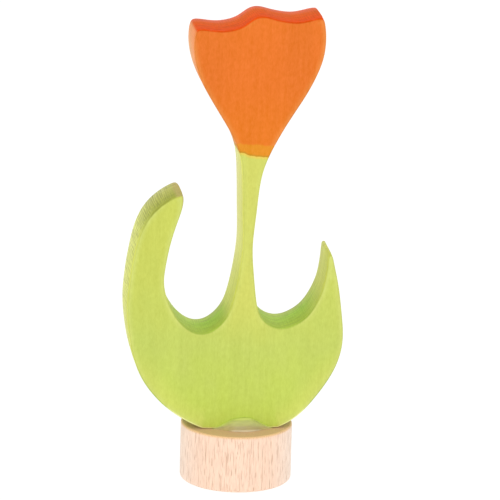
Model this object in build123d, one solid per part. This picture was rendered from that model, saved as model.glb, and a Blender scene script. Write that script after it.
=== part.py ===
from build123d import *
import os
from math import cos, pi

# A tulip sawn from one board of limewood, dip-dyed in two colours and glued with a hidden
# dowel pin to a round beech plug that stands in a 20 mm hole of a wooden ring.
# Millimetres, +Z up, the front face looks along -Y, and +X is to the right as seen in front.
# The origin is the centre of the plug's underside.

# Plug, a slice of beech rod
plug_diameter = 20.0
plug_height = 10.4
plug_foot_break = 0.4
plug_rim_break = 0.25

# Board and its sanding
board_thickness = 9.5
figure_height = 75.2
edge_break = 0.3
tip_round = 0.35
foot_round = 0.6

# Foot, the flat that stands on the plug
foot_width = 13.6
foot_shift = 0.1

# Leaves, measured from the plug's axis and from the foot
right_leaf_reach = 18.05
right_leaf_height = 33.95
right_notch_floor = 18.5
left_leaf_reach = 20.6
left_leaf_height = 43.45
left_notch_floor = 17.6

# Stem
stem_width = 2.05
stem_shift = 0.56
stem_root_height = 23.5

# Flower
flower_width = 23.3
flower_height = 26.2
flower_shift = 1.84

# Fluted dowel pin across the joint
pin_diameter = 5.0
pin_length = 16.0
pin_end_chamfer = 0.6
flute_count = 12
flute_depth = 0.3
plug_hole_depth = 7.4
pin_fit_clearance = 0.05
pin_end_gap = 0.5

# Glue, a film under the foot and what was squeezed out in front
glue_film = 0.1
bead_width = 10.6
bead_rise = 2.1
bead_reach = 2.1
bead_shift = 0.9
bead_skirt_share = 0.22
bead_bulge_share = 0.62
bead_place_shares = [-1.0, -0.75, -0.5, -0.25, 0.0, 0.25, 0.5, 0.75, 1.0]

# Outline tables, in rows of (across, up). The stretches run anti-clockwise as seen in front.
# Leaves: across is a share of the reach, up a share of the leaf's height above the foot.
right_outside_shares = [
    (0.604, 0.076),
    (0.780, 0.186),
    (0.926, 0.312),
    (1.001, 0.446),
    (0.986, 0.624),
    (0.937, 0.797),
    (0.902, 0.878),
    (0.857, 1.000),
]
left_outside_shares = [
    (0.537, 1.000),
    (0.656, 0.973),
    (0.778, 0.927),
    (0.874, 0.861),
    (0.936, 0.766),
    (0.981, 0.643),
    (1.001, 0.506),
    (0.970, 0.377),
    (0.902, 0.255),
    (0.822, 0.185),
    (0.686, 0.109),
    (0.520, 0.047),
]
# Notches: across is a share of the reach, up a share of the notch's depth above its floor.
right_notch_shares = [
    (0.828, 0.735),
    (0.787, 0.458),
    (0.725, 0.287),
    (0.637, 0.139),
    (0.519, 0.041),
    (0.385, 0.000),
    (0.264, 0.046),
    (0.168, 0.168),
]
left_notch_shares = [
    (0.128, 0.137),
    (0.210, 0.052),
    (0.301, 0.008),
    (0.390, 0.005),
    (0.478, 0.040),
    (0.579, 0.125),
    (0.649, 0.234),
    (0.687, 0.358),
    (0.675, 0.487),
    (0.636, 0.647),
    (0.581, 0.797),
    (0.537, 0.916),
]
# Stem: across is a share of its width from its axis, up a share of its length.
stem_right_shares = [
    (0.907, 0.000),
    (0.615, 0.200),
    (0.459, 0.380),
    (0.620, 0.560),
    (0.849, 0.760),
    (1.185, 0.930),
]
stem_left_shares = [
    (-0.629, 0.930),
    (-0.527, 0.760),
    (-0.449, 0.560),
    (-0.415, 0.380),
    (-0.659, 0.200),
    (-1.156, 0.000),
]
# Flower: across is a share of half its width from its axis, up a share of its height.
flower_right_shares = [
    (0.231, 0.083),
    (0.446, 0.260),
    (0.681, 0.430),
    (0.883, 0.603),
    (0.981, 0.740),
    (0.999, 0.860),
]
crown_shares = [
    (0.953, 0.993),
    (0.780, 0.977),
    (0.640, 0.963),
    (0.535, 0.959),
    (0.410, 0.965),
    (0.260, 0.977),
    (0.120, 0.995),
    (0.010, 1.001),
    (-0.119, 0.979),
    (-0.250, 0.935),
    (-0.400, 0.910),
    (-0.590, 0.900),
    (-0.780, 0.909),
    (-0.965, 0.915),
]
flower_left_shares = [
    (-0.999, 0.815),
    (-0.972, 0.690),
    (-0.884, 0.568),
    (-0.728, 0.439),
    (-0.537, 0.300),
    (-0.364, 0.164),
    (-0.258, 0.050),
]

# Levels that several pieces share
foot_level = plug_height + glue_film
stem_top_height = figure_height - flower_height
pin_bottom = plug_height - plug_hole_depth
figure_hole_depth = pin_bottom + pin_length + pin_end_gap - foot_level
hole_radius = pin_diameter / 2 + pin_fit_clearance
front_face = -board_thickness / 2


def placed(shares, start, size, floor, rise):
    """Turn rows of shares into points of the outline."""
    return [(start + across * size, floor + up * rise) for across, up in shares]


def stem_points(shares):
    length = stem_top_height - stem_root_height
    return placed(shares, stem_shift, stem_width, foot_level + stem_root_height, length)


def foot_corners():
    left = (foot_shift - foot_width / 2, foot_level)
    right = (foot_shift + foot_width / 2, foot_level)
    return left, right


def notch_points(shares, reach, notch_floor, leaf_height):
    depth = leaf_height - notch_floor
    return placed(shares, 0, reach, foot_level + notch_floor, depth)


def flower_points(shares):
    base = foot_level + stem_top_height
    return placed(shares, flower_shift, flower_width / 2, base, flower_height)


def outline_stretches():
    """The outline's smooth stretches, each from one corner to the next."""
    left_foot, right_foot = foot_corners()
    right_outside = placed(right_outside_shares, 0, right_leaf_reach, foot_level, right_leaf_height)
    left_outside = placed(left_outside_shares, 0, -left_leaf_reach, foot_level, left_leaf_height)
    crown = flower_points(crown_shares)
    right_inside = notch_points(
        right_notch_shares, right_leaf_reach, right_notch_floor, right_leaf_height
    )
    left_inside = notch_points(
        left_notch_shares, -left_leaf_reach, left_notch_floor, left_leaf_height
    )
    up_the_right = (
        right_inside + stem_points(stem_right_shares) + flower_points(flower_right_shares)
    )
    down_the_left = (
        flower_points(flower_left_shares) + stem_points(stem_left_shares) + left_inside
    )
    return [
        [right_foot] + right_outside,
        [right_outside[-1]] + up_the_right + [crown[0]],
        crown,
        [crown[-1]] + down_the_left + [left_outside[0]],
        left_outside + [left_foot],
    ]


def tulip_figure():
    """The sawn board: five smooth saw cuts, a flat foot, sanded edges and a blind dowel hole."""
    left_foot, right_foot = foot_corners()
    edges = [Spline(*stretch) for stretch in outline_stretches()]
    edges.append(Line(left_foot, right_foot))
    back = Plane.XZ.offset(-board_thickness / 2)
    board = extrude(back * make_face(Curve() + edges), board_thickness)
    corners = board.edges().filter_by(Axis.Y).sort_by(Axis.Z)
    foot_edges = corners[:2]
    board = fillet(foot_edges, foot_round)
    tips = board.edges().filter_by(Axis.Y).sort_by(Axis.Z)[-4:]
    board = fillet(tips, tip_round)
    board = chamfer(board.faces().filter_by(Plane.XZ).edges(), edge_break)
    hole = Cylinder(hole_radius, figure_hole_depth, align=(Align.CENTER, Align.CENTER, Align.MIN))
    return board - Pos(0, 0, foot_level) * hole


def base_plug():
    """Slice of rod with broken edges and a blind dowel hole."""
    plug = Cylinder(plug_diameter / 2, plug_height, align=(Align.CENTER, Align.CENTER, Align.MIN))
    rim = plug.edges().filter_by(GeomType.CIRCLE).sort_by(Axis.Z)[-1]
    plug = chamfer(rim, plug_rim_break)
    foot = plug.edges().filter_by(GeomType.CIRCLE).sort_by(Axis.Z)[0]
    plug = chamfer(foot, plug_foot_break)
    hole = Cylinder(hole_radius, plug_hole_depth, align=(Align.CENTER, Align.CENTER, Align.MAX))
    return plug - Pos(0, 0, plug_height) * hole


def dowel_pin():
    """Fluted pin with chamfered ends, standing on the floor of the plug's hole."""
    pin = Cylinder(pin_diameter / 2, pin_length, align=(Align.CENTER, Align.CENTER, Align.MIN))
    pin = chamfer(pin.edges().filter_by(GeomType.CIRCLE), pin_end_chamfer)
    flute = Cylinder(flute_depth, pin_length, align=(Align.CENTER, Align.CENTER, Align.MIN))
    pin -= PolarLocations(pin_diameter / 2, flute_count) * flute
    return Pos(0, 0, pin_bottom) * pin


def bead_section(place):
    """Cross-section of the squeezed-out glue at one place, from -1 at its left end to 1.

    Its back follows the front of the film, the broken foot edge and the front face."""
    swell = bead_skirt_share + (1 - bead_skirt_share) * (1 + cos(pi * place)) / 2
    rise = bead_rise * swell
    reach = bead_reach * swell
    film_edge = front_face + edge_break
    top = (front_face, plug_height + rise)
    toe = (front_face - reach, plug_height)
    belly = (front_face - reach * bead_bulge_share, plug_height + rise * bead_bulge_share)
    back = Polyline(
        toe,
        (film_edge, plug_height),
        (film_edge, foot_level),
        (front_face, foot_level + edge_break),
        top,
    )
    section = make_face(back + ThreePointArc(top, belly, toe))
    return Plane.YZ.offset(bead_shift + place * bead_width / 2) * section


def glue_joint():
    """Thin film under the foot, open round the pin, and the clear bead in front of it."""
    film_width = foot_width - 2 * foot_round
    film_depth = board_thickness - 2 * edge_break
    film = Box(film_width, film_depth, glue_film, align=(Align.CENTER, Align.CENTER, Align.MIN))
    hole = Cylinder(hole_radius, glue_film, align=(Align.CENTER, Align.CENTER, Align.MIN))
    film = Pos(foot_shift, 0, plug_height) * film - Pos(0, 0, plug_height) * hole
    bead = loft([bead_section(place) for place in bead_place_shares])
    return film + bead


def main():
    parts = {
        "tulip_figure": tulip_figure(),
        "base_plug": base_plug(),
        "dowel_pin": dowel_pin(),
        "glue_joint": glue_joint(),
    }
    os.makedirs("parts", exist_ok=True)
    for name, part in parts.items():
        export_step(part, f"parts/{name}.step")
        box = part.bounding_box()
        print(name, "solids", len(part.solids()), "volume", round(part.volume, 3), box)


main()
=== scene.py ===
"""Looks of a sawn and dip-dyed wooden tulip on a round beech plug.

Laid out as an add-on and run as a script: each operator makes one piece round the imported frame.
Everything is in metres, in the frame's own axes: +Z up, and the front face looks along -Y.
"""

from math import atan2, cos, pi, radians, sin

import bmesh
import bpy
import numpy as np
from bpy.props import FloatProperty, FloatVectorProperty, PointerProperty
from mathutils import Matrix, Vector, noise
from mathutils.geometry import delaunay_2d_cdt


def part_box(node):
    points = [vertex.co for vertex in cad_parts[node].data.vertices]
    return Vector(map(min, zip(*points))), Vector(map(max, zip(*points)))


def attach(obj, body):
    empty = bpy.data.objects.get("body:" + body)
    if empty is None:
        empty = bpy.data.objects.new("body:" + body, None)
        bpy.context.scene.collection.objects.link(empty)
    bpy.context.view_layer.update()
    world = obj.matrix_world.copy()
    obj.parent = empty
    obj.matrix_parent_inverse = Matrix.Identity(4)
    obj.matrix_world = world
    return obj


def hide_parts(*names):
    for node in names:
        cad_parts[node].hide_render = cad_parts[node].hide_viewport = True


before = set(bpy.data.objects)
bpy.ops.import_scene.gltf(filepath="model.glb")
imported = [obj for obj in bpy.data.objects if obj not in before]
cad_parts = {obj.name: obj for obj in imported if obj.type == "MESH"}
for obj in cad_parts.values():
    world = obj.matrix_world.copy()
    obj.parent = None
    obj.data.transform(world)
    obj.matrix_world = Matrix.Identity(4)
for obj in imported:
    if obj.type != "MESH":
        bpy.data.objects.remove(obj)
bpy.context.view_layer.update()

bl_info = {
    "name": "Wooden tulip looks",
    "version": (1, 0, 0),
    "blender": (4, 5, 0),
    "location": "View3D > Sidebar > Tulip",
    "description": "Dresses the packed wooden tulip in dyed limewood, beech and clear glue",
    "category": "Object",
}

BODY = "root"
MM = 0.001
FIGURE_LOW, FIGURE_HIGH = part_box("tulip_figure")
_, PLUG_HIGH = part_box("base_plug")
PIN_LOW, PIN_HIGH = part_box("dowel_pin")
GLUE_LOW, GLUE_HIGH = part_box("glue_joint")

# The dowel's hole, with 0.05 mm of room round the pin and 0.5 mm beyond its end. The pin's box
# ends beside a flute, 0.02 mm inside its full radius, which is added too.
HOLE_RADIUS = PIN_HIGH.x + 0.00007
HOLE_TOP = PIN_HIGH.z + 0.0005
HOLE_SIDES = 48

# How finely the board is made
CURVE_STEPS = 12
LINE_SPACING = 0.00013
LINE_TURN = radians(9)
FOOT_POINTS = 34
EDGE_RINGS = 6
WALL_RINGS = 10
SHEET_SPACING = 0.0008
BLUR_STEP = 0.00005
ROOM_SPREAD = 9

# How finely the plug and the bead are made
PLUG_SIDES = 192
BEAD_ACROSS = 20
BEAD_ALONG = 72

# Where the bead lies: right of the film's middle, sunk into plug and board, and tucked under the foot
BEAD_SHIFT = 0.0004
BEAD_SUNK = 0.00003
BEAD_TUCK = 0.0006

# Depth of the relief that the shaders give to wood and to glue
GRAIN_RELIEF = 0.00003
GLUE_RELIEF = 0.00005

# Stage
FLOOR_RADIUS = 6.0
FLOOR_SIDES = 96
LAMP_PLACE = (-0.15, -1.2, 0.6)
LAMP_TARGET = (0, 0, 0.04)
LAMP_SIZE = 0.9
CAMERA_TARGET = (0.001614, 0.0, 0.042232)
SENSOR_WIDTH = 36.0
CLIP_START = 0.01

# Distances, in metres, that count as the same place and as none at all
CLOSE = MM / 1000
NOTHING = 1e-9

# For the triangulation: keep what lies inside the outline, and join points this close in mm
FILL_INSIDE = 1
FILL_CLOSE = 1e-6


# Settings


def length(name, description, default):
    """A size, in metres."""
    return FloatProperty(
        name=name, description=description, default=default, unit="LENGTH", precision=5
    )


def share(name, description, default):
    """A number from 0 to 1."""
    return FloatProperty(name=name, description=description, default=default, min=0.0, max=1.0)


def tilt(name, description, degrees):
    """An angle, given in degrees."""
    return FloatProperty(
        name=name, description=description, default=radians(degrees), subtype="ANGLE"
    )


def colour(name, description, red, green, blue):
    """A colour as it looks on a screen, from 0 to 255 for each part."""
    return FloatVectorProperty(
        name=name,
        description=description,
        subtype="COLOR_GAMMA",
        default=(red / 255, green / 255, blue / 255),
        min=0.0,
        max=1.0,
    )


class TulipFigureSettings(bpy.types.PropertyGroup):
    """The board: its sanding, its saw marks and its dyes"""

    edge_round: length("Edge round", "Radius of the sanded edges of both faces", 0.00033)
    corner_wear: length("Corner wear", "How widely sanding rubbed the four points down", 0.0006)
    front_wear: share("Front wear", "How much of that wear the front edge has", 0.8)
    middle_wear: share("Middle wear", "How much of it there is half-way through the board", 0.25)
    keen_point: share("Keen point", "How much of it the narrow point of the short leaf has", 0.1)
    saw_pitch: length("Saw pitch", "Distance between the marks that the saw left", 0.00042)
    saw_depth: length("Saw depth", "Depth of the saw marks on the sawn wall", 0.00003)
    wander: length("Wander", "How far the saw strays from its line", 0.00003)
    face_wave: length("Face wave", "Unevenness of the sanded faces", 0.00003)
    dip_height: length("Dip height", "Height of the line where the orange begins", 0.06054)
    overlap: length("Overlap", "Height of the band where both dyes lie", 0.00213)
    soak: length("Soak", "How far end grain draws its dye round a corner", 0.0004)
    leaf_low: colour("Leaf, low", "Yellow-green of the faces near the foot", 191, 208, 88)
    leaf_belly: colour("Belly", "Yellow-green of the belly, below the leaves", 190, 203, 98)
    leaf_high: colour("Leaf, high", "Yellow-green of the stem and the leaf tips", 197, 204, 93)
    stem: colour("Stem", "Yellow-green of the stem's faces", 203, 206, 100)
    notch_back: colour("Notch, back", "Green of the low end grain near the back", 190, 204, 128)
    notch_middle: colour("Notch, middle", "Green of the low end grain", 174, 211, 94)
    notch_front: colour("Notch, front", "Green of the low end grain near the front", 177, 202, 80)
    notch_pale: colour("Notch, pale", "Paler green towards the notches' left ends", 216, 236, 132)
    top_back: colour("Leaf top, back", "Olive of the high end grain near the back", 204, 206, 136)
    top_middle: colour("Leaf top, middle", "Olive of the high end grain", 198, 202, 110)
    top_front: colour("Leaf top, front", "Olive of the high end grain near the front", 174, 182, 76)
    # Side colours: partly the dye on side grain, partly painted sheen, palest towards the back.
    side_back_sheen: colour("Leaf side, back", "Pale green of the side grain near the back", 227, 231, 139)
    side_front: colour("Leaf side, front", "Green of the side grain near the front", 218, 224, 97)
    stem_side_back_sheen: colour("Stem side, back", "Palest green of the stem's side", 241, 240, 169)
    stem_side_front: colour("Stem side, front", "Green of the stem's side near it", 232, 234, 115)
    leaf_worn: colour("Leaf, worn", "Thinner green along the sanded edges", 204, 212, 114)
    leaf_skirt: colour("Skirt", "Yellower green along the belly's low outline", 206, 212, 104)
    # Partly rubbed wear and partly painted light against the shade at the board's low edge.
    leaf_edge_worn_and_lit: colour("Low edge", "Pale rubbed edge of the belly's low outline", 238, 240, 160)
    leaf_tip: colour("Leaf tip", "Brownish green of the worn tip of the tall leaf", 203, 190, 119)
    flower: colour("Flower", "Orange of the flower's faces", 224, 115, 41)
    flower_low: colour("Flower, low", "Orange of the flower's faces near the stem", 224, 119, 36)
    flower_worn: colour("Flower, worn", "Thinner orange along the sanded edges", 228, 141, 70)
    crown_back: colour("Crown, back", "Red orange of the crown's end grain near the back", 246, 128, 99)
    crown_middle: colour("Crown, middle", "Red orange of the crown's end grain", 241, 104, 26)
    crown_front: colour("Crown, front", "Red orange of the crown near the front", 246, 87, 6)
    # Flower side colours: partly the dye on side grain, partly painted sheen, palest towards the back.
    petal_back_sheen: colour("Flower side, back", "Pale orange of the side near the back", 248, 188, 133)
    petal_front: colour("Flower side, front", "Orange of the side near the front", 250, 154, 82)
    petal_top: colour("Flower side, top", "Deeper orange at the side's left top", 252, 140, 64)
    both_dyes: colour("Both dyes", "Colour of the band where both dyes lie", 222, 143, 38)
    dye_line: colour("Dye line", "Dark line where the second dye stopped", 190, 138, 38)
    dye_gap: colour("Dye gap", "Thin yellow line under it", 224, 198, 88)


class TulipPlugSettings(bpy.types.PropertyGroup):
    """The plug: its broken edges and its beech"""

    rim_round: length("Rim round", "Radius of the plug's top edge", 0.00035)
    foot_round: length("Foot round", "Radius of the plug's bottom edge", 0.0005)
    unevenness: length("Unevenness", "How far the turned side strays from round", 0.00003)
    beech: colour("Beech", "Side of the plug", 250, 214, 189)
    beech_warm: colour("Beech, warm", "Warmer streaks of the side", 249, 213, 188)
    # Painted sheen: the plug's side is made paler towards its left and right.
    beech_painted_sheen: colour("Beech, pale", "Paler side at the plug's left and right", 255, 229, 209)
    beech_rim: colour("Beech rim", "Yellower wood along the top edge", 246, 202, 150)
    fleck: colour("Fleck", "Short dark rays in the side", 190, 144, 108)
    beech_end: colour("Beech end grain", "Top and underside of the plug", 227, 186, 145)


class TulipGlueSettings(bpy.types.PropertyGroup):
    """The glue: the size of its bead and where it is milky"""

    bead_width: length("Bead width", "Length of the squeezed-out bead", 0.0109)
    bead_rise: length("Bead rise", "Height of the bead up the front face", 0.0021)
    bead_reach: length("Bead reach", "How far the bead reaches over the plug", 0.0021)
    milk: colour("Milky glue", "Tint of the set glue", 240, 230, 190)
    veil_high: colour("Veil, high", "Milkiness of the bead near its upper edge", 208, 220, 112)
    veil: colour("Veil", "Milkiness of the bead half-way up", 234, 240, 136)
    veil_middle: colour("Veil, middle", "Milkiness of the bead below that", 214, 214, 124)
    # Painted shade: a dimmer milk where the joint's shade would show through the glue.
    veil_low: colour("Veil, low", "Milkiness near the joint line, which it hides", 190, 178, 116)
    # Painted highlight along the toe.
    toe: colour("Toe", "Pale line where the bead ends on the plug", 222, 210, 174)
    # Painted highlight along the crest.
    crest_highlight: colour("Crest", "Pale line along the middle of the bead's upper edge", 228, 238, 130)
    clearness: share("Clearness", "Share of the light that goes through the glue", 0.75)


class TulipStageSettings(bpy.types.PropertyGroup):
    """The camera, the floor and the light"""

    lens: FloatProperty(
        name="Lens", description="Focal length of the camera", default=303.3, unit="CAMERA"
    )
    distance: length("Camera distance", "From the camera to the point that it looks at", 0.75)
    azimuth: tilt("Azimuth", "Turn of the camera round the ornament, 0 in front of it", -7.677)
    elevation: tilt("Elevation", "Angle of the camera above the horizon", 15.394)
    roll: tilt("Roll", "Turn of the camera about its own axis", 1.552)
    floor: colour("Floor", "Pale floor and backdrop", 124, 124, 123)
    floor_glow: FloatProperty(
        name="Floor glow", description="Light that the pale floor gives by itself", default=0.86
    )
    tent: FloatProperty(
        name="Tent", description="Strength of the white light from all round", default=0.75
    )
    key_power: FloatProperty(
        name="Key lamp", description="Strength of the soft lamp in front", default=5.0, unit="POWER"
    )


# Shader maths


class Signal:
    """One output socket of a material, with Python's operators standing for Math nodes."""

    def __init__(self, recipe, socket):
        self.recipe = recipe
        self.socket = socket

    def __add__(self, other):
        return self.recipe.maths("ADD", self, other)

    def __radd__(self, other):
        return self.recipe.maths("ADD", other, self)

    def __sub__(self, other):
        return self.recipe.maths("SUBTRACT", self, other)

    def __rsub__(self, other):
        return self.recipe.maths("SUBTRACT", other, self)

    def __mul__(self, other):
        return self.recipe.maths("MULTIPLY", self, other)

    def __rmul__(self, other):
        return self.recipe.maths("MULTIPLY", other, self)

    def __truediv__(self, other):
        return self.recipe.maths("DIVIDE", self, other)


class Recipe:
    """The nodes of one material."""

    def __init__(self, name):
        self.material = bpy.data.materials.new(name)
        self.material.use_nodes = True
        self.tree = self.material.node_tree
        self.tree.nodes.clear()

    def node(self, kind, settings=None, sockets=None):
        """Make one node: its settings first, and then the values or links of its sockets."""
        made = self.tree.nodes.new(kind)
        for name, value in (settings or {}).items():
            if name == "stops":
                self.set_stops(made.color_ramp, value)
            else:
                setattr(made, name, value)
        for name, value in (sockets or {}).items():
            socket = self.find(made.inputs, name)
            if isinstance(value, Signal):
                self.tree.links.new(value.socket, socket)
            else:
                socket.default_value = value
        return made

    @staticmethod
    def find(sockets, name):
        """A socket by its number, by the name that Blender keeps inside, or by the one shown."""
        if isinstance(name, int):
            return sockets[name]
        for socket in sockets:
            if socket.identifier == name:
                return socket
        return sockets[name]

    @staticmethod
    def set_stops(ramp, stops):
        while len(ramp.elements) < len(stops):
            ramp.elements.new(1.0)
        for element, (place, shade) in zip(ramp.elements, stops):
            element.position = place
            element.color = shade

    def out(self, made, name=0):
        """An output of a node, the first one if none is named."""
        return Signal(self, self.find(made.outputs, name))

    def maths(self, operation, *values):
        """The result of one Math node."""
        sockets = dict(enumerate(values))
        return self.out(self.node("ShaderNodeMath", {"operation": operation}, sockets))

    def vector(self, operation, first, second):
        """The result of one Vector Math node."""
        sockets = {0: first, 1: second}
        return self.out(self.node("ShaderNodeVectorMath", {"operation": operation}, sockets))

    def attribute(self, name):
        """A number that the mesh carries at its points."""
        return self.out(self.node("ShaderNodeAttribute", {"attribute_name": name}), "Fac")

    def place(self):
        """Position on the piece, in millimetres."""
        where = self.out(self.node("ShaderNodeTexCoord"), "Object")
        return self.vector("MULTIPLY", where, (1 / MM, 1 / MM, 1 / MM))

    def split(self, vector):
        parts = self.node("ShaderNodeSeparateXYZ", None, {0: vector})
        return [self.out(parts, axis) for axis in "XYZ"]

    def join(self, x, y, z):
        return self.out(self.node("ShaderNodeCombineXYZ", None, {"X": x, "Y": y, "Z": z}))

    def cloud(self, place, stretch, detail, bend=0.0):
        """Soft noise from 0 to 1, with so many swells to a millimetre along each axis."""
        sockets = {
            "Vector": self.vector("MULTIPLY", place, stretch),
            "Scale": 1.0,
            "Detail": detail,
            "Roughness": 0.5,
            "Distortion": bend,
        }
        return self.out(self.node("ShaderNodeTexNoise", {"noise_dimensions": "3D"}, sockets))

    def step(self, value, low, high):
        """0 below low, 1 above high, and smooth between them. low may be the higher one."""
        sockets = {"Value": value, "From Min": low, "From Max": high}
        settings = {"interpolation_type": "SMOOTHSTEP"}
        return self.out(self.node("ShaderNodeMapRange", settings, sockets))

    def mix(self, factor, first, second, blend="MIX"):
        """The first colour where the factor is 0, and the second, or their blend, where it is 1."""
        settings = {"data_type": "RGBA", "blend_type": blend}
        sockets = {"Factor_Float": factor, "A_Color": first, "B_Color": second}
        return self.out(self.node("ShaderNodeMix", settings, sockets), "Result_Color")

    def ramp(self, value, *stops):
        """A colour that runs through the given (place, screen colour) stops."""
        shades = [(place, linear(shade)) for place, shade in stops]
        return self.out(self.node("ShaderNodeValToRGB", {"stops": shades}, {"Fac": value}))

    def shaded(self, tint, shade):
        """A colour made lighter or darker by a number near 1."""
        return self.mix(1.0, tint, self.join(shade, shade, shade), "MULTIPLY")

    def bump(self, height, distance):
        """The Normal of a surface whose relief has so many metres to a height of 1."""
        sockets = {"Height": height, "Distance": distance, "Strength": 1.0}
        return self.out(self.node("ShaderNodeBump", None, sockets))

    def coat(self, **sockets):
        """One Principled surface. Its sockets' names are given with underscores."""
        named = {name.replace("_", " "): value for name, value in sockets.items()}
        return self.out(self.node("ShaderNodeBsdfPrincipled", None, named))

    def finish(self, surface):
        """Join a surface to the material's output, and hand the material over."""
        self.node("ShaderNodeOutputMaterial", None, {"Surface": surface})
        return self.material

    def surface(self, **sockets):
        """A material of one Principled surface."""
        return self.finish(self.coat(**sockets))


def linear(screen):
    """A colour of the settings as light, with its fourth number."""
    parts = [c / 12.92 if c <= 0.04045 else ((c + 0.055) / 1.055) ** 2.4 for c in screen]
    return (*parts, 1.0)


# Meshes


def new_piece(name, vertices, faces, material, slot, **carried):
    """Make a piece of the points that its faces use, with numbers for its material to read."""
    used = sorted({i for face in faces for i in face})
    place = {old: new for new, old in enumerate(used)}
    mesh = bpy.data.meshes.new(name)
    points = [tuple(vertices[i]) for i in used]
    mesh.from_pydata(points, [], [[place[i] for i in face] for face in faces])
    mesh.validate()
    mesh.shade_smooth()
    mesh.materials.append(material)
    for key, values in carried.items():
        attribute = mesh.attributes.new(key, "FLOAT", "POINT")
        attribute.data.foreach_set("value", np.asarray(values, np.float32)[used])
    piece = bpy.data.objects.new(name, mesh)
    bpy.context.scene.collection.objects.link(piece)
    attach(piece, BODY)
    return piece


def bevel_level(board):
    """Depth at which the front's bevel ends: of all depths near the front, the commonest one."""
    depths = [vertex.co.y / FIGURE_LOW.y for vertex in board.verts]
    levels = [round(depth, 4) for depth in depths if 0.8 < depth < 0.99]
    return max(set(levels), key=levels.count) * FIGURE_LOW.y


def sawn_line(node):
    """The line round the sawn wall, as (across, up) points from the foot's left end to its right.

    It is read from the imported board: the edges where the bevel of its front meets the wall."""
    board = bmesh.new()
    board.from_mesh(node.data)
    bmesh.ops.remove_doubles(board, verts=board.verts, dist=CLOSE)
    level = bevel_level(board)
    beside = {}
    for edge in board.edges:
        on_level = all(abs(end.co.y - level) < CLOSE for end in edge.verts)
        nearest = min(corner.co.y for face in edge.link_faces for corner in face.verts)
        if on_level and nearest < level - CLOSE:
            for here, there in (edge.verts, reversed(edge.verts)):
                beside.setdefault(here.index, []).append(there.index)
    board.verts.ensure_lookup_table()
    points = {i: (board.verts[i].co.x, board.verts[i].co.z) for i in beside}
    board.free()
    foot = min(up for _, up in points.values())
    ends = [i for i in points if points[i][1] < foot + CLOSE]
    first = min(ends, key=lambda i: points[i][0])
    last = max(ends, key=lambda i: points[i][0])
    line = [first, max(beside[first], key=lambda i: points[i][1])]
    while line[-1] != last:
        line.append(next(i for i in beside[line[-1]] if i != line[-2]))
    if max(points[i][1] for i in line) < FIGURE_HIGH.z - MM / 10:
        raise RuntimeError("The sawn line of the packed board doesn't reach its top.")
    return np.array([points[i] for i in line])


def smooth_line(points, spacing, turn):
    """Points along a smooth curve through the given ones, closer together where it turns."""
    before = np.vstack([2 * points[0] - points[1], points[:-1]])
    after = np.vstack([points[1:], 2 * points[-1] - points[-2]])
    gap_before = np.linalg.norm(points - before, axis=1)[:, None]
    gap_after = np.linalg.norm(after - points, axis=1)[:, None]
    coming = (points - before) / gap_before * gap_after
    going = (after - points) / gap_after * gap_before
    slope = (coming + going) / (gap_before + gap_after)
    part = np.linspace(0, 1, CURVE_STEPS, endpoint=False)[:, None]
    passed = 3 * part**2 - 2 * part**3
    leaving = part**3 - 2 * part**2 + part
    arriving = part**3 - part**2
    curves = []
    for i, gap in enumerate(gap_after[:-1]):
        chord = (1 - passed) * points[i] + passed * points[i + 1]
        curves.append(chord + gap * (leaving * slope[i] + arriving * slope[i + 1]))
    fine = np.vstack(curves + [points[-1:]])
    stretch = np.diff(fine, axis=0)
    heading = np.unwrap(np.arctan2(stretch[:, 1], stretch[:, 0]))
    bend = np.abs(np.diff(heading, prepend=heading[0]))
    measure = np.concatenate([[0], np.cumsum(np.hypot(*stretch.T) / spacing + bend / turn)])
    wanted = np.linspace(0, measure[-1], round(measure[-1]) + 1)
    return np.column_stack([np.interp(wanted, measure, fine[:, axis]) for axis in (0, 1)])


def outward(line):
    """Unit normals of a closed line that runs clockwise, and how far it can be drawn in.

    That is the radius of the largest circle that touches the line there from inside, 1 mm at
    most, evened out over some points on either side."""
    ahead = np.roll(line, -1, axis=0) - line
    behind = line - np.roll(line, 1, axis=0)
    tangent = ahead / np.hypot(*ahead.T)[:, None] + behind / np.hypot(*behind.T)[:, None]
    tangent /= np.hypot(*tangent.T)[:, None]
    normal = np.column_stack([-tangent[:, 1], tangent[:, 0]])
    room = np.full(len(line), MM)
    for i, spot in enumerate(line):
        gap = spot - line
        depth = gap @ normal[i]
        facing = depth > NOTHING
        room[i] = min(MM, np.min(np.sum(gap[facing] ** 2, axis=1) / (2 * depth[facing])))
    shifts = range(-ROOM_SPREAD, ROOM_SPREAD + 1)
    tight = np.min([np.roll(room, i) for i in shifts], axis=0)
    return normal, np.mean([np.roll(tight, i) for i in shifts], axis=0)


def softened(rows, run, girth, spread):
    """Numbers at the points of a closed line, blurred along it by so many metres."""
    count = round(girth / BLUR_STEP)
    places = np.arange(count) * girth / count
    damp = np.exp(-2 * (pi * spread * np.fft.fftfreq(count, girth / count)) ** 2)
    blurred = []
    for row in rows.T:
        even = np.interp(places, np.append(run, girth), np.append(row, row[0]))
        soft = np.fft.ifft(np.fft.fft(even) * damp).real
        blurred.append(np.interp(run, np.append(places, girth), np.append(soft, soft[0])))
    return np.column_stack(blurred)


def inside(points, line):
    """Which points lie inside a closed line, how far each is from it, and its nearest point."""
    start, end = line, np.roll(line, -1, axis=0)
    crossed = np.zeros(len(points), bool)
    near = np.full(len(points), 1.0)
    nearest = np.zeros(len(points), int)
    for i, ((x0, z0), (x1, z1)) in enumerate(zip(start, end)):
        if z0 != z1:
            spans = (points[:, 1] > min(z0, z1)) & (points[:, 1] <= max(z0, z1))
            at = x0 + (points[:, 1] - z0) / (z1 - z0) * (x1 - x0)
            crossed ^= spans & (points[:, 0] < at)
        gap = np.hypot(points[:, 0] - x0, points[:, 1] - z0)
        nearest[gap < near] = i
        near = np.minimum(near, gap)
    return crossed, near, nearest


def ripple(x, y, z):
    """Repeatable noise from -1 to 1 at each row of three numbers."""
    spots = np.column_stack(np.broadcast_arrays(x, y, z)).astype(float)
    return np.array([noise.noise(Vector(spot)) for spot in spots])


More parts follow.
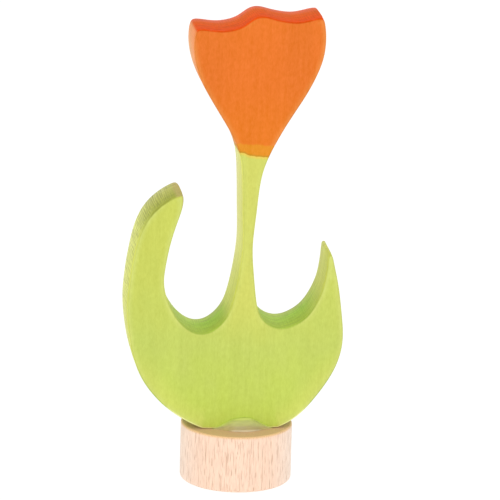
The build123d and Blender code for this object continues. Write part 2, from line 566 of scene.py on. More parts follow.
def face_sheet(rim, spacing):
    """Points spread inside a closed line, and the triangles that fill it.

    With the points come how far each is from the line, and the number of its nearest point."""
    row_gap, rim_gap = 0.87 * spacing, 0.6 * spacing
    low, high = rim.min(axis=0), rim.max(axis=0)
    columns = np.arange(low[0], high[0], spacing)
    rows = np.arange(low[1], high[1], row_gap)
    grid = np.array([(x + spacing / 2 * (i % 2), z) for i, z in enumerate(rows) for x in columns])
    within, near, nearest = inside(grid, rim)
    kept = within & (near > rim_gap)
    grid, near, nearest = grid[kept], near[kept], nearest[kept]
    spots = [Vector(p) for p in np.vstack([rim, grid]) / MM]
    places, _, faces, origins, _, _ = delaunay_2d_cdt(
        spots, [], [list(range(len(rim)))], FILL_INSIDE, FILL_CLOSE
    )
    number = {}
    for i, origin in enumerate(origins):
        number[i] = origin[0] if origin else len(rim) + len(grid)
        if not origin:
            grid = np.vstack([grid, np.array(places[i]) * MM])
            near = np.append(near, 0.0)
            nearest = np.append(nearest, 0)
    return grid, near, nearest, [[number[i] for i in face] for face in faces]


# Tulip figure


class TULIP_OT_figure(bpy.types.Operator):
    """Make the sawn and dyed board with its sanded edges and saw marks"""

    bl_idname = "tulip.figure"
    bl_label = "Tulip figure"

    def execute(self, context):
        s = context.scene.tulip_figure
        make_figure(s, dyed_limewood(s))
        return {"FINISHED"}


class Outline:
    """The closed line round the board, clockwise from the left end of its foot.

    Each point has run, its way along the line, loose, 0 on the foot and 1 from 2 mm beyond it,
    wear, how far sanding would rub it in, back_wear, the share of that at the back edge, and
    end_grain, 1 where the wall cuts across the grain. The first sawn_count points are sawn, and
    the rest lie along the flat of the foot."""

    def __init__(self, s):
        sawn = smooth_line(sawn_line(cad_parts["tulip_figure"]), LINE_SPACING, LINE_TURN)
        flat = np.linspace(sawn[-1], sawn[0], FOOT_POINTS)[1:-1]
        line = np.vstack([sawn, flat])
        self.sawn_count = len(sawn)
        self.count = len(line)
        self.run = np.concatenate([[0], np.cumsum(np.hypot(*np.diff(line, axis=0).T))])
        girth = self.run[-1] + np.hypot(*(line[-1] - line[0]))
        off_foot = np.minimum(self.run, self.run[self.sawn_count - 1] - self.run)
        self.loose = np.clip(off_foot / (2 * MM), 0, 1)
        self.normal, _ = outward(line)
        stray = s.wander * self.loose * ripple(self.run / (4 * MM), 0, 0.5)
        self.line = line + self.normal * stray[:, None]
        rubbed = softened(self.line, self.run, girth, s.corner_wear)
        self.wear = (rubbed - self.line) * self.loose[:, None]
        self.end_grain = softened(np.abs(self.normal[:, 1:]), self.run, girth, s.soak)[:, 0]
        narrow = np.clip(self.line[:, 0] / (2 * MM) - 6, 0, 1)[:, None]
        self.back_wear = 1 - (1 - s.keen_point) * narrow


class Board:
    """The board's mesh while it grows: its points, its faces, and the numbers of its points."""

    def __init__(self):
        self.vertices = []
        self.faces = []
        self.carried = {"wall": [], "run": [], "end_grain": [], "inset": []}

    def add(self, places, **numbers):
        """Add points with their numbers, one for each or one for all, and tell the first's index."""
        first = len(self.vertices)
        self.vertices += list(places)
        for name, values in self.carried.items():
            values.extend(np.broadcast_to(numbers[name], len(places)))
        return first


def make_figure(s, material):
    """Lay rings from the front face round the wall to the back face, and fill what is open."""
    outline = Outline(s)
    front_radius, front = edge_rings(s, outline, -1, s.front_wear)
    back_radius, back = edge_rings(s, outline, 1, outline.back_wear)
    rings = front + wall_rings(s, outline, front_radius, back_radius) + back[::-1]
    board = Board()
    for spots, depth, wall, inset in rings:
        board.add(
            np.column_stack([spots[:, 0], depth, spots[:, 1]]),
            wall=wall,
            run=outline.run / MM,
            end_grain=outline.end_grain,
            inset=inset / MM,
        )
    first_wall, last_wall = len(front) - 1, len(rings) - len(back)
    join_rings(board, outline, len(rings), first_wall, last_wall)
    fill_face(s, board, outline, rings[0][0], 0, -1)
    fill_face(s, board, outline, rings[-1][0], outline.count * (len(rings) - 1), 1)
    fill_foot(board, outline, first_wall, last_wall)
    piece = new_piece(
        "sawn_tulip", board.vertices, board.faces, material, "dyed_limewood", **board.carried
    )
    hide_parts("tulip_figure")


def edge_rings(s, outline, side, worn):
    """The radius of one rounded edge, and its rings from the face to the wall.

    A ring has its (across, up) points, their depth, how far they turn from face to wall, from
    0 to 1, and how far in from the wall they lie. side is -1 at the front and 1 at the back."""
    rim = outline.line + outline.wear * worn
    away, room = outward(rim)
    radius = s.edge_round * (1 + 0.18 * ripple(outline.run / (9 * MM), 3.1 * side, 0))
    radius = np.minimum(radius, 0.78 * room)
    arc = [(np.minimum(radius + MM / 10, 0.92 * room), 0 * radius, 0.0)]
    for angle in np.linspace(pi / 2, 0, EDGE_RINGS):
        arc.append((radius * (1 - cos(angle)), radius * (1 - sin(angle)), 1 - angle / (pi / 2)))
    return radius, [
        (rim - away * inset[:, None], side * (FIGURE_HIGH.y - dip), turned, inset)
        for inset, dip, turned in arc
    ]


def wall_rings(s, outline, front_radius, back_radius):
    """The rings of the sawn wall from front to back, less worn in its middle, with saw marks."""
    half, run = FIGURE_HIGH.y, outline.run
    rings = []
    for i in range(1, WALL_RINGS + 1):
        part = i / (WALL_RINGS + 1)
        depth = (front_radius - half) * (1 - part) + (half - back_radius) * part
        worn = s.front_wear if part < 0.5 else outline.back_wear
        worn = s.middle_wear + (worn - s.middle_wear) * abs(2 * part - 1) ** 3
        marks = ripple(run / s.saw_pitch, depth / (5 * MM), 7.7)
        marks += 0.6 * ripple(run / (s.saw_pitch * 2.7), depth / (9 * MM), 1.2)
        fade = min(1.0, 3 * part, 3 * (1 - part)) * outline.loose
        cut = outline.normal * (s.saw_depth * marks * fade)[:, None]
        rings.append((outline.line + outline.wear * worn + cut, depth, 1.0, 0 * run))
    return rings


def join_rings(board, outline, ring_count, first_wall, last_wall):
    """Faces from each ring to the next one. The wall stays open along the flat of the foot."""
    count = outline.count
    for level in range(ring_count - 1):
        low, high = level * count, (level + 1) * count
        joined = outline.sawn_count - 1 if first_wall <= level < last_wall else count
        for i in range(joined):
            after = (i + 1) % count
            board.faces.append((low + i, low + after, high + after, high + i))


def fill_face(s, board, outline, rim, start, side):
    """Fill one broad face with a slightly wavy sheet. Its rim's points begin at start."""
    grid, near, nearest, filled = face_sheet(rim, SHEET_SPACING)
    swell = ripple(grid[:, 0] / (5 * MM), side * 2.0, grid[:, 1] / (9 * MM))
    dents = np.abs(s.face_wave * swell * np.clip(near / (2 * MM), 0, 1))
    first = board.add(
        np.column_stack([grid[:, 0], side * (FIGURE_HIGH.y - dents), grid[:, 1]]),
        wall=0.0,
        run=outline.run[nearest] / MM,
        end_grain=outline.end_grain[nearest],
        inset=(near + s.edge_round) / MM,
    )
    number = list(range(start, start + outline.count)) + list(range(first, first + len(grid)))
    for face in filled:
        corners = [number[i] for i in face]
        board.faces.append(corners if side < 0 else corners[::-1])


def fill_foot(board, outline, first_wall, last_wall):
    """Fill the flat foot round the dowel's hole, and sink the hole into it."""
    count, corner = outline.count, outline.sawn_count - 1
    levels = range(first_wall, last_wall + 1)
    front = [first_wall * count + i % count for i in range(corner, count + 1)]
    back = [last_wall * count + i % count for i in range(corner, count + 1)]
    left = [level * count for level in levels]
    right = [level * count + corner for level in levels]
    border = front[:-1] + left[:-1] + back[::-1][:-1] + right[::-1][:-1]
    spots = [Vector(board.vertices[i][:2]) / MM for i in border]
    turns = [2 * pi * i / HOLE_SIDES for i in range(HOLE_SIDES)]
    circle = [(HOLE_RADIUS * cos(turn), HOLE_RADIUS * sin(turn)) for turn in turns]
    numbers = {"wall": 1.0, "run": 0.0, "end_grain": 1.0, "inset": 0.0}
    mouth = board.add([(x, y, FIGURE_LOW.z) for x, y in circle], **numbers)
    end = board.add([(x, y, HOLE_TOP) for x, y in circle], **numbers)
    spots += [Vector(p) / MM for p in circle]
    outer = list(range(len(border)))
    hole = list(range(len(border), len(spots)))
    edges = list(zip(hole, hole[1:] + hole[:1]))
    _, _, filled, origins, _, _ = delaunay_2d_cdt(spots, edges, [outer], FILL_INSIDE, FILL_CLOSE)
    number = border + list(range(mouth, mouth + HOLE_SIDES))
    where = {i: origin[0] for i, origin in enumerate(origins) if origin}
    for face in filled:
        corners = [where[i] for i in face]
        middle = sum((spots[i] for i in corners), Vector((0, 0))) / len(corners)
        if middle.length > HOLE_RADIUS / MM:
            board.faces.append([number[i] for i in corners][::-1])
    for i in range(HOLE_SIDES):
        after = (i + 1) % HOLE_SIDES
        board.faces.append((mouth + after, mouth + i, end + i, end + after))
    board.faces.append([end + i for i in range(HOLE_SIDES)][::-1])


class Limewood:
    """What the dyes and the grain go by at each point of the board. Places are in millimetres."""

    def __init__(self, r):
        self.spot = r.place()
        self.x, self.y, self.z = r.split(self.spot)
        self.run = r.attribute("run")

        # The wood's own unevenness, drawn out along the upright grain
        self.hair = r.cloud(self.spot, (4.0, 4.0, 1.4), 2.0)
        self.fibre = r.cloud(self.spot, (2.0, 2.0, 0.12), 3.0)
        self.ring = r.cloud(self.spot, (0.22, 2.0, 0.025), 3.0, bend=0.4)
        self.mottle = r.cloud(self.spot, (1.3, 1.3, 0.8), 2.0)
        self.blotch = r.cloud(self.spot, (0.28, 0.28, 0.2), 3.0)

        # From 0 at the back to 1 at the front, and the same stirred by the grain: the end grain's
        # colours darken along it towards the front
        self.depth = 0.5 - self.y * (MM / (2 * FIGURE_HIGH.y))
        self.ragged_depth = self.depth + (self.ring - 0.5) * 0.35 + (self.hair - 0.5) * 0.2

        # The sawn wall, the rounded edge, and on the wall end grain and side grain
        turned = r.attribute("wall")
        end_grain = r.attribute("end_grain")
        self.wall = r.step(turned, 0.12, 0.5)
        self.rim = r.step(turned, 0.02, 0.25) * r.step(turned, 1.0, 0.7)
        self.across = r.step(end_grain, 0.2, 0.75)
        self.end_mask = self.across * self.wall
        self.side_mask = r.step(turned, 0.25, 0.75) * (1 - self.end_mask)

        # Faces rubbed thin near their edge, the belly's low skirt, and the low edge above the plug,
        # which gets painted light
        inset = r.attribute("inset")
        near = r.step(inset, 1.4, 0.05)
        low = r.step(self.z, 27.0, 19.0) * r.step(end_grain, 1.0, 0.9)
        reached = r.maths("MAXIMUM", r.step(end_grain, 0.95, 0.6), low)
        self.worn = near * near * (0.5 + self.fibre) * reached
        self.skirt = r.step(inset, 4.5, 0.5) * low
        self.low_edge_lit = r.step(self.z, 15.5, 13.0)


def wall_cloud(r, wood, along, through, layer, detail):
    """Soft noise on the sawn wall, by the way along its outline and the way through the board."""
    return r.cloud(r.join(wood.run * along, wood.y * through, layer), (1.0, 1.0, 1.0), detail)


def saw_marks(r, s, wood):
    """Strokes of the saw across the wall, strongest on the tall leaf's outside, in patches."""
    pitch = s.saw_pitch / MM
    wobble = wall_cloud(r, wood, 0.6, 0.15, 0.0, 2.0)
    stroke = r.maths("SINE", wood.run * (2 * pi / pitch) + wobble * 14)
    scratch = wall_cloud(r, wood, 1.4 / pitch, 0.14, 3.0, 2.0)
    patch = wall_cloud(r, wood, 0.12, 0.1, 9.0, 1.0)
    outside = r.step(wood.x, -12.5, -15.0) * r.step(wood.z, 24.0, 36.0)
    bite = (0.25 + 1.1 * outside + (patch - 0.5)) * r.step(wood.depth, 1.0, 0.75)
    return (stroke * 0.12 + (scratch - 0.5)) * wood.wall * bite


def side_green_and_sheen(r, s, wood):
    """Green of the leaves' side grain with a painted sheen palest towards the back, palest on the stem
    and darker on the short leaf.
    """
    x, z = wood.x, wood.z
    side = r.ramp(wood.depth, (0.0, s.side_back_sheen), (1.0, s.side_front))
    stem_side = r.ramp(wood.depth, (0.0, s.stem_side_back_sheen), (1.0, s.stem_side_front))
    on_stem = r.step(z, 36.0, 44.0) * r.step(x, -5.0, -4.0) * r.step(x, 8.0, 6.0)
    side = r.mix(on_stem, side, stem_side)
    short_leaf = r.step(x, 9.0, 13.0) * r.step(z, 48.0, 38.0)
    return r.shaded(side, 1 - short_leaf * 0.11)


def end_green(r, s, wood, side):
    """Green of the end grain on the notches' floors and the tall leaf's top.

    The short leaf's point has the colour of its side."""
    x, z, ragged_depth = wood.x, wood.z, wood.ragged_depth
    notch = r.ramp(ragged_depth, (0.04, s.notch_back), (0.35, s.notch_middle), (0.85, s.notch_front))
    top = r.ramp(ragged_depth, (0.04, s.top_back), (0.35, s.top_middle), (0.85, s.top_front))
    end = r.mix(r.step(z, 38.0, 47.0), notch, top)
    left_notch = r.step(x, -5.0, -10.5)
    right_notch = r.step(x, 2.0, 3.0) * r.step(x, 11.0, 4.5) * 0.75
    pale = (left_notch + right_notch) * r.step(z, 24.0, 26.0) * r.step(z, 40.0, 36.0)
    end = r.mix(pale * (0.72 - ragged_depth * 0.5), end, linear(s.notch_pale))
    point = r.step(x, 12.0, 14.0) * r.step(z, 37.0, 41.0)
    return r.mix(point, end, side)


def leaf_green(r, s, wood):
    """Yellow-green of stem and leaves: faces, then the wall, the low edge with its wear and painted
    light, and the tall tip.
    """
    x, z = wood.x, wood.z
    height = (z + (wood.blotch - 0.5) * 12) / (FIGURE_HIGH.z / MM)
    leaf = r.ramp(height, (0.13, s.leaf_low), (0.3, s.leaf_belly), (0.5, s.leaf_high))
    stem_face = r.step(x, -5.0, -1.5) * r.step(x, 7.0, 4.0) * r.step(z, 24.0, 36.0)
    leaf = r.mix(stem_face, leaf, linear(s.stem))
    leaf = r.mix(wood.skirt * 0.6, leaf, linear(s.leaf_skirt))
    leaf = r.mix(wood.worn * (1 - stem_face * 0.6), leaf, linear(s.leaf_worn))
    side = side_green_and_sheen(r, s, wood)
    leaf = r.mix(wood.side_mask, leaf, side)
    leaf = r.mix(wood.end_mask, leaf, end_green(r, s, wood, side))
    # Paler low edge above the plug: partly wear, partly painted light that lifts the shade there.
    leaf = r.mix(wood.rim * wood.low_edge_lit * 0.9, leaf, linear(s.leaf_edge_worn_and_lit))
    tip = r.step(z, 50.5, 52.0) * r.step(x, -12.7, -11.9) * r.step(x, -8.0, -9.0) * wood.wall
    return r.mix(tip * 0.8, leaf, linear(s.leaf_tip))


def flower_orange(r, s, wood):
    """Orange of the flower: its faces, then its sides with a painted sheen palest towards the back, and
    the end grain of its crown.
    """
    pool = r.step(wood.z, 78.5, 83.0) * r.step(wood.x, -5.0, -8.0)
    # Painted sheen: the flower's side is palest towards the back.
    petal = r.ramp(wood.depth, (0.0, s.petal_back_sheen), (1.0, s.petal_front))
    petal = r.mix(pool * 0.5, petal, linear(s.petal_top))
    crown = r.ramp(wood.ragged_depth, (0.04, s.crown_back), (0.35, s.crown_middle), (0.9, s.crown_front))
    bloom = r.mix(r.step(wood.z, 76.0, 62.0), linear(s.flower), linear(s.flower_low))
    bloom = r.mix(wood.worn * (0.8 - pool * 0.7), bloom, linear(s.flower_worn))
    bloom = r.mix(wood.side_mask, bloom, petal)
    return r.mix(wood.end_mask * r.step(wood.z, 74.0, 80.0), bloom, crown)


def two_dyes(r, s, wood):
    """Green below a ragged line and orange above it, with what the second dip left between them.

    From below: a thin yellow gap, the dark line where the orange stopped, and the band where
    both dyes lie."""
    x, y, z = wood.x, wood.y, wood.z
    dip, band = s.dip_height / MM, s.overlap / MM
    ragged = r.cloud(wood.spot, (1.6, 1.6, 0.2), 2.0)
    frayed = r.cloud(wood.spot, (1.1, 1.1, 0.1), 2.0, bend=0.5)
    kink = r.step(x, 0.8, -1.0) * 0.4
    above_line = z + x * 0.1 - kink + y * 0.05 + (ragged - 0.5) * 0.3 - dip
    above_dip = z + x * 0.066 + y * 0.03 + (frayed - 0.5) * 0.9 - dip
    lap = 1 - r.step(above_dip, band - 0.25, band + 0.25)
    bloom = r.mix(lap * 0.85, flower_orange(r, s, wood), linear(s.both_dyes))
    bloom = r.mix(r.step(above_line, 0.45, 0.1) * 0.85, bloom, linear(s.dye_line))
    gap = r.step(above_line, -0.6, -0.15) * 0.9
    leaf = r.mix(gap, leaf_green(r, s, wood), linear(s.dye_gap))
    return r.mix(r.step(above_line, -0.06, 0.06), leaf, bloom)


def dyed_limewood(s):
    """Limewood in two water dyes, made lighter and darker by its grain, pores and saw marks, with
    painted shade on its rounded edges and painted sheen on its fibres.
    """
    r = Recipe("dyed limewood")
    wood = Limewood(r)
    saw = saw_marks(r, s, wood)
    pore = r.cloud(wood.spot, (1.1, 2.2, 1.1), 2.0)
    layers = wall_cloud(r, wood, 0.22, 2.2, 5.0, 3.0)
    fuzz = (wood.hair - 0.5) * 0.14 + (wood.fibre - 0.5) * 0.1 + (wood.mottle - 0.5) * 0.12
    grain = fuzz + (wood.ring - 0.5) * (0.14 + 0.24 * wood.wall) + saw * 0.8
    # Painted shade: the rounded edges are darker, more so on end grain, but not along the low edge
    # above the plug.
    grain = grain - wood.rim * (0.07 + wood.across * 0.05) * (1 - wood.low_edge_lit)
    grain = grain + ((pore - 0.5) * 0.2 + (layers - 0.5) * 0.4) * wood.end_mask
    # Grain added as grey: partly the wood's own tone and partly painted sheen of fibres catching light.
    grain_and_sheen = fuzz * 0.15
    base = r.shaded(two_dyes(r, s, wood), 1.0 + grain)
    relief = (wood.hair - 0.5) * 0.5 + (wood.fibre - 0.5) * 0.5 + saw
    return r.surface(
        Base_Color=r.vector("ADD", base, r.join(grain_and_sheen, grain_and_sheen, grain_and_sheen)),
        Roughness=0.52 + wood.end_mask * 0.12 + (wood.hair - 0.5) * 0.1,
        Normal=r.bump(relief, GRAIN_RELIEF),
        Specular_IOR_Level=0.07,
    )


# Beech plug


class TULIP_OT_plug(bpy.types.Operator):
    """Make the slice of beech rod with its broken edges and its blind hole"""

    bl_idname = "tulip.plug"
    bl_label = "Beech plug"

    def execute(self, context):
        s = context.scene.tulip_plug
        make_plug(s, plain_beech(s))
        return {"FINISHED"}


def plug_profile(s):
    """The plug's half outline as (out, up) points, from its underside to the floor of its hole."""
    foot_steps, side_steps, rim_steps = 6, 20, 5
    radius, top, floor = PLUG_HIGH.x, PLUG_HIGH.z, PIN_LOW.z
    flat = radius - s.rim_round - HOLE_RADIUS
    profile = [(part * (radius - s.foot_round), 0.0) for part in (0.25, 0.5, 0.75, 0.9, 1.0)]
    for i in range(1, foot_steps + 1):
        angle = i / foot_steps * pi / 2
        out = radius - s.foot_round * (1 - sin(angle))
        profile.append((out, s.foot_round * (1 - cos(angle))))
    for i in range(1, side_steps):
        rise = i / side_steps * (top - s.rim_round - s.foot_round)
        profile.append((radius, s.foot_round + rise))
    for i in range(rim_steps + 1):
        angle = i / rim_steps * pi / 2
        out = radius - s.rim_round * (1 - cos(angle))
        profile.append((out, top - s.rim_round * (1 - sin(angle))))
    profile += [(HOLE_RADIUS + part * flat, top) for part in (0.97, 0.85, 0.6, 0.3, 0.0)]
    profile += [(HOLE_RADIUS, floor + part * (top - floor)) for part in (0.5, 0.0)]
    return profile


def lathe_trace(turn, up):
    """How far out the lathe left the plug's side at a turn and a height, from -1.4 to 1.4."""
    broad = noise.noise(Vector((3 * cos(turn), 3 * sin(turn), up / (8 * MM))))
    fine = noise.noise(Vector((30 * cos(turn), 30 * sin(turn), up / (3 * MM))))
    return broad + 0.4 * fine


def make_plug(s, material):
    """Turn the plug's half outline round its axis, uneven where the lathe cut its side."""
    profile = plug_profile(s)
    inner = PLUG_HIGH.x - s.rim_round
    vertices = [(0.0, 0.0, 0.0)]
    flank = [0.0]
    for out, up in profile:
        flank += [float(out > inner)] * PLUG_SIDES
        for i in range(PLUG_SIDES):
            turn = 2 * pi * i / PLUG_SIDES
            uneven = lathe_trace(turn, up) if out > inner - MM else 0.0
            far = out + uneven * s.unevenness
            vertices.append((far * cos(turn), far * sin(turn), up))
    vertices.append((0.0, 0.0, PIN_LOW.z))
    flank.append(0.0)
    starts = [1 + level * PLUG_SIDES for level in range(len(profile))]
    last = len(vertices) - 1
    faces = []
    for i in range(PLUG_SIDES):
        after = (i + 1) % PLUG_SIDES
        faces.append((0, 1 + after, 1 + i))
        for low, high in zip(starts[:-1], starts[1:]):
            faces.append((low + i, low + after, high + after, high + i))
        faces.append((starts[-1] + i, starts[-1] + after, last))
    piece = new_piece("beech_plug", vertices, faces, material, "plain_beech", side=flank)
    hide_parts("base_plug")


def plain_beech(s):
    """Sanded beech: pinkish, with short dark rays up its side, dots on its end grain, and painted sheen
    at its left and right.
    """
    r = Recipe("plain beech")
    place = r.place()
    x, _, z = r.split(place)
    top = PLUG_HIGH.z / MM
    fibre = r.cloud(place, (2.4, 2.4, 0.06), 3.0)
    hair = r.cloud(place, (8.0, 8.0, 0.5), 2.0)
    pores = r.cloud(place, (9.0, 9.0, 0.5), 1.0)
    rays = r.cloud(place, (7.4, 7.4, 0.5), 1.0)
    more_rays = r.cloud(r.vector("ADD", place, (31.0, 17.0, 5.0)), (6.4, 6.4, 0.2), 1.0)
    fleck = r.step(r.maths("MAXIMUM", rays, more_rays), 0.62, 0.69)
    flank = r.mix(r.step(fibre, 0.35, 0.65), linear(s.beech), linear(s.beech_warm))
    # Painted reflection: paler colour towards the plug's left and right, where grazing light would
    # brighten the side.
    sheen_flanks = r.step(r.maths("ABSOLUTE", x + 0.9), 5.5, 10.3)
    flank = r.mix(sheen_flanks, flank, linear(s.beech_painted_sheen))
    flank = r.mix(r.step(z, top - 0.55, top - 0.1), flank, linear(s.beech_rim))
    flank = r.mix(fleck * 0.6, flank, linear(s.fleck))
    base = r.mix(r.step(r.attribute("side"), 0.2, 0.8), linear(s.beech_end), flank)
    grain = (hair - 0.5) * 0.46 + (fibre - 0.5) * 0.06 + (pores - 0.5) * 0.2
    return r.surface(
        Base_Color=r.shaded(base, 1.0 + grain),
        Roughness=0.5 + (hair - 0.5) * 0.1,
        Normal=r.bump(hair - fleck * 0.5, GRAIN_RELIEF),
    )


# Dowel pin


class TULIP_OT_pin(bpy.types.Operator):
    """Finish the fluted dowel pin inside the joint"""

    bl_idname = "tulip.pin"
    bl_label = "Dowel pin"

    def execute(self, context):
        material = dowel_beech(context.scene.tulip_plug)
        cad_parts["dowel_pin"].material_slots[0].material = material
        return {"FINISHED"}


def dowel_beech(s):
    """Plain beech of the pin, in the plug's warm and dark tints."""
    r = Recipe("dowel beech")
    fibre = r.cloud(r.place(), (3.0, 3.0, 0.1), 3.0)
    return r.surface(
        Base_Color=r.mix(r.step(fibre, 0.3, 0.7), linear(s.fleck), linear(s.beech_warm)),
        Roughness=0.5 + fibre * 0.2,
        Normal=r.bump(fibre, GRAIN_RELIEF),
    )


# Glue


class TULIP_OT_glue(bpy.types.Operator):
    """Make the glue film under the foot and the clear bead in front of it"""

    bl_idname = "tulip.glue"
    bl_label = "Clear glue"

    def execute(self, context):
        s = context.scene.tulip_glue
        make_glue(s, clear_glue(s))
        return {"FINISHED"}


def make_glue(s, material):
    """One thin film under the foot, open round the pin, and the bead in front of it."""
    vertices, faces = [], []
    add_film(vertices, faces)
    around = [0.5] * len(vertices)
    add_bead(s, vertices, faces, around)
    piece = new_piece("set_glue", vertices, faces, material, "clear_glue", around=around)
    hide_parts("glue_joint")


def add_film(vertices, faces):
    """A flat rectangle with a round hole, as thick as the gap between plug and foot."""
    centre = (GLUE_LOW.x + GLUE_HIGH.x) / 2
    wide, deep = (GLUE_HIGH.x - GLUE_LOW.x) / 2, GLUE_HIGH.y
    turns = [2 * pi * i / HOLE_SIDES for i in range(HOLE_SIDES)]
    for x in (centre - wide, centre + wide):
        turns += [atan2(y, x) % (2 * pi) for y in (-deep, deep)]
    turns.sort()
    for turn in turns:
        side = centre + wide if cos(turn) > 0 else centre - wide
        far = min(side / cos(turn), deep / max(abs(sin(turn)), NOTHING))
        for reach in (HOLE_RADIUS, far):
            for up in (PLUG_HIGH.z, FIGURE_LOW.z):
                vertices.append((reach * cos(turn), reach * sin(turn), up))
    for i in range(len(turns)):
        here, there = 4 * i, 4 * ((i + 1) % len(turns))
        for one, other in ((0, 1), (1, 3), (3, 2), (2, 0)):
            faces.append((here + one, here + other, there + other, there + one))


def bead_swell(place):
    """How full the bead is at a place, from -1 at its left end through 0 to 1 at its right."""
    swell = 0.13 + 0.87 * (1 + cos(pi * abs(place) ** 1.25)) / 2
    rounded_end = min(1.0, (1 - abs(place)) * 7 + 0.03) ** 0.5
    return swell * rounded_end


def add_bead(s, vertices, faces, around):
    """The bead, one cross-section after another, each from the front face down to the plug.

    around is 0 at its upper edge on the front face and 1 at its toe and its back."""
    start = len(vertices)
    middle = (GLUE_LOW.x + GLUE_HIGH.x) / 2 + BEAD_SHIFT
    face, floor = FIGURE_LOW.y + BEAD_SUNK, PLUG_HIGH.z - BEAD_SUNK
    for i in range(BEAD_ALONG + 1):
        place = 2 * i / BEAD_ALONG - 1
        swell = bead_swell(place)
        lump = 1 + 0.04 * noise.noise(Vector((place * 3, 0, 0)))
        rise, reach = s.bead_rise * swell * lump, s.bead_reach * swell
        x = middle + place * s.bead_width / 2
        for j in range(BEAD_ACROSS + 1):
            angle = j / BEAD_ACROSS * pi / 2
            vertices.append((x, face - reach * sin(angle), floor + rise * cos(angle)))
            around.append(j / BEAD_ACROSS)
        vertices.append((x, FIGURE_LOW.y + BEAD_TUCK, floor))
        around.append(1.0)
    width = BEAD_ACROSS + 2
    for i in range(BEAD_ALONG):
        for j in range(width):
            after = (j + 1) % width
            low, high = start + i * width, start + (i + 1) * width
            faces.append((low + j, low + after, high + after, high + j))
    faces.append([start + j for j in range(width)][::-1])
    faces.append([start + BEAD_ALONG * width + j for j in range(width)])


def bead_veil(r, s, around, crest_highlight, ends):
    """Colour of the milkiness in the bead, down from its upper edge to its toe on the plug, with
    painted shade near the joint and painted highlights on its crest and toe.
    """
    veil = r.ramp(
        around,
        (0.1, s.veil_high),
        (0.35, s.veil),
        (0.6, s.veil_middle),
        (0.71, s.veil_low),
        (0.84, s.veil_low),
        (0.92, s.toe),
    )
    fading = r.ramp(around, (0.2, s.veil_high), (0.6, s.veil_low))
    return r.mix(crest_highlight, r.mix(ends, veil, fading), linear(s.crest_highlight))


def clear_glue(s):
    """Clear set glue, milky where it is thin and along its toe on the plug, with painted highlights on
    its crest and toe and painted shade near the joint.
    """
    r = Recipe("clear glue")
    place = r.place()
    x, _, z = r.split(place)
    top = PLUG_HIGH.z / MM
    around = r.attribute("around")
    ripples = r.cloud(place, (0.5, 0.5, 0.5), 1.0)
    streaks = r.cloud(place, (0.5, 2.5, 2.5), 2.0)
    curds = r.cloud(place, (0.9, 0.9, 0.9), 2.0)
    relief = r.bump(ripples, GLUE_RELIEF)

    # The middle of the upper edge, where a highlight is painted, the bead's two ends, its toe on the
    # plug, where a highlight is painted too, and its upper edge
    high = r.step(z, top + 1.5, top + 2.0)
    crest_highlight = r.step(around, 0.06, 0.12) * r.step(around, 0.34, 0.24) * high
    ends = r.step(r.maths("ABSOLUTE", x - 0.9), 1.9, 3.3)
    toe = r.step(around, 0.84, 0.93)
    edge = r.step(around, 0.16, 0.05)

    clear = r.coat(
        Base_Color=r.shaded(linear(s.milk), 1.0 + (curds - 0.5) * 0.3),
        Roughness=0.04 + ripples * 0.04,
        Transmission_Weight=s.clearness,
        IOR=1.46,
        Normal=relief,
    )
    veil = r.shaded(bead_veil(r, s, around, crest_highlight, ends), 1.0 + (streaks - 0.5) * 0.5)
    milky = r.coat(Base_Color=veil, Roughness=0.4, Specular_IOR_Level=0.15, Normal=relief)
    # More milk towards the joint for its painted shade, and at the toe and the crest for their painted
    # highlights.
    thin = 0.5 + r.step(around, 0.5, 0.8) * 0.25 + toe * 0.2
    factor = thin + crest_highlight * 0.3 + ends * 0.3 + edge * 0.35
    mixed = r.node("ShaderNodeMixShader", None, {0: factor, 1: clear, 2: milky})
    return r.finish(r.out(mixed))


# Stage


class TULIP_OT_stage(bpy.types.Operator):
    """Make the pale floor, the soft light and the camera"""

    bl_idname = "tulip.stage"
    bl_label = "Stage"

    def execute(self, context):
        s = context.scene.tulip_stage
        make_floor(s)
        make_light(s)
        make_camera(s)
        return {"FINISHED"}


def make_floor(s):
    """A wide pale disc that also gives light by itself."""
    r = Recipe("pale floor")
    shade = 1.0 + (r.cloud(r.place(), (0.01, 0.01, 0.01), 2.0) - 0.5) * 0.02
    material = r.surface(
        Base_Color=r.shaded(linear(s.floor), shade),
        Roughness=0.6,
        Specular_IOR_Level=0.2,
        Emission_Color=(1.0, 1.0, 1.0, 1.0),
        Emission_Strength=s.floor_glow,
    )
    sheet = bmesh.new()
    bmesh.ops.create_circle(sheet, cap_ends=True, segments=FLOOR_SIDES, radius=FLOOR_RADIUS)
    mesh = bpy.data.meshes.new("pale_floor")
    sheet.to_mesh(mesh)
    sheet.free()
    mesh.materials.append(material)
    floor = bpy.data.objects.new("pale_floor", mesh)
    bpy.context.scene.collection.objects.link(floor)


def make_light(s):
    """White light from all round, and one soft lamp in front, high and a little to the left."""
    scene = bpy.context.scene
    world = bpy.data.worlds.new("white tent")
    world.use_nodes = True
    world.node_tree.nodes["Background"].inputs["Color"].default_value = (1, 1, 1, 1)
    world.node_tree.nodes["Background"].inputs["Strength"].default_value = s.tent
    scene.world = world
    scene.view_settings.view_transform = "Standard"
    lamp = bpy.data.lights.new("key_lamp", "AREA")
    lamp.shape = "DISK"
    lamp.size = LAMP_SIZE
    lamp.energy = s.key_power
    key = bpy.data.objects.new("key_lamp", lamp)
    scene.collection.objects.link(key)
    key.location = LAMP_PLACE
    key.rotation_mode = "QUATERNION"
    sight = Vector(LAMP_TARGET) - Vector(LAMP_PLACE)
    key.rotation_quaternion = sight.to_track_quat("-Z", "Y")


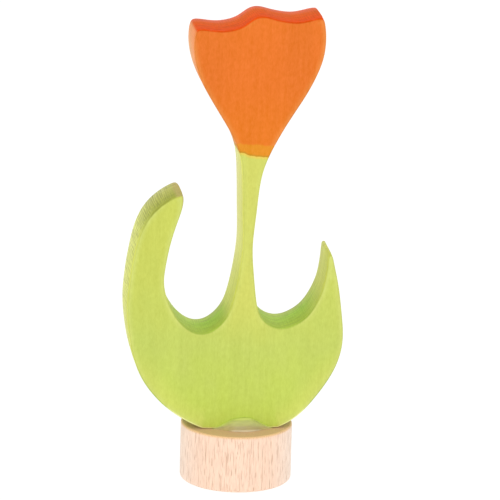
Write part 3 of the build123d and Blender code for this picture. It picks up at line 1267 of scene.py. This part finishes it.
def make_camera(s):
    """A camera that looks at its target from the set distance and angles."""
    data = bpy.data.cameras.new("camera")
    data.lens = s.lens
    data.sensor_width = SENSOR_WIDTH
    data.clip_start = CLIP_START
    camera = bpy.data.objects.new("camera", data)
    bpy.context.scene.collection.objects.link(camera)
    turn, rise = s.azimuth, s.elevation
    back = Vector((sin(turn) * cos(rise), -cos(turn) * cos(rise), sin(rise)))
    right = Vector((cos(turn), sin(turn), 0))
    up = back.cross(right)
    rolled_right = cos(s.roll) * right + sin(s.roll) * up
    rolled_up = cos(s.roll) * up - sin(s.roll) * right
    facing = Matrix((rolled_right, rolled_up, back)).transposed().to_4x4()
    place = Vector(CAMERA_TARGET) + back * s.distance
    camera.matrix_world = Matrix.Translation(place) @ facing
    bpy.context.scene.camera = camera


# Panel and registration


class TULIP_PT_panel(bpy.types.Panel):
    """Lists the makers of the tulip's pieces"""

    bl_idname = "TULIP_PT_panel"
    bl_label = "Wooden tulip"
    bl_space_type = "VIEW_3D"
    bl_region_type = "UI"
    bl_category = "Tulip"

    def draw(self, context):
        for operator in OPERATORS:
            self.layout.operator(operator.bl_idname)


GROUPS = {
    "tulip_figure": TulipFigureSettings,
    "tulip_plug": TulipPlugSettings,
    "tulip_glue": TulipGlueSettings,
    "tulip_stage": TulipStageSettings,
}
OPERATORS = (
    TULIP_OT_figure,
    TULIP_OT_plug,
    TULIP_OT_pin,
    TULIP_OT_glue,
    TULIP_OT_stage,
)


def register():
    for group in GROUPS.values():
        bpy.utils.register_class(group)
    for name, group in GROUPS.items():
        setattr(bpy.types.Scene, name, PointerProperty(type=group))
    for operator in OPERATORS:
        bpy.utils.register_class(operator)
    bpy.utils.register_class(TULIP_PT_panel)


def unregister():
    bpy.utils.unregister_class(TULIP_PT_panel)
    for operator in reversed(OPERATORS):
        bpy.utils.unregister_class(operator)
    for name in reversed(GROUPS):
        delattr(bpy.types.Scene, name)
        bpy.utils.unregister_class(GROUPS[name])


def main():
    register()
    bpy.ops.tulip.figure()
    bpy.ops.tulip.plug()
    bpy.ops.tulip.pin()
    bpy.ops.tulip.glue()
    bpy.ops.tulip.stage()


if __name__ == "__main__":
    main()
